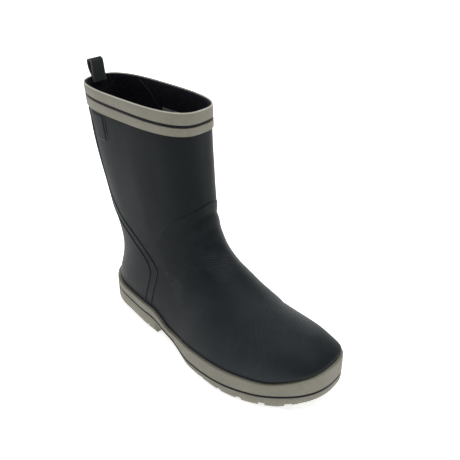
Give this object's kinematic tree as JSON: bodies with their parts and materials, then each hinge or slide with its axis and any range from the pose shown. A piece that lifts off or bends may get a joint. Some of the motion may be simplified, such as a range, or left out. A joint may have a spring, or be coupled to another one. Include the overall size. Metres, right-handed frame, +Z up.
{
  "type": "rubber boot",
  "caption": "Short pull-on rubber boot for the right foot with pale foxing, collar tapes, side stays and a pull loop",
  "frame": {"origin": "on the floor, under the middle of the heel, at the mount heel_on_floor", "axes": "+X from heel to toe, +Y to the inner side of the foot, +Z up from the floor"},
  "size_m": [0.3259, 0.1113, 0.2919],
  "materials": {
    "outsole": "satin moulded rubber",
    "sole_stripe": "satin rubber",
    "foxing": "satin rubber strip",
    "upper": "satin natural rubber",
    "insole": "fleece on a flat board",
    "collar_tape_top": "satin rubber tape",
    "collar_stripe": "satin rubber",
    "collar_tape_bottom": "satin rubber tape",
    "stay_rib_front_outer": "glossy rubber line",
    "stay_rib_rear_outer": "glossy rubber line",
    "stay_rib_front_inner": "glossy rubber line",
    "stay_rib_rear_inner": "glossy rubber line",
    "badge": "plain smooth patch",
    "pull_loop": "woven webbing"
  },
  "bodies": {
    "root": {"outsole": "outsole", "sole_stripe": "sole_stripe", "foxing": "foxing", "upper": "upper", "insole": "insole", "collar_tape_top": "collar_tape_top", "collar_stripe": "collar_stripe", "collar_tape_bottom": "collar_tape_bottom", "stay_rib_front_outer": "stay_rib_front_outer", "stay_rib_rear_outer": "stay_rib_rear_outer", "stay_rib_front_inner": "stay_rib_front_inner", "stay_rib_rear_inner": "stay_rib_rear_inner", "badge": "badge", "pull_loop": "pull_loop"}
  },
  "joints": []
}
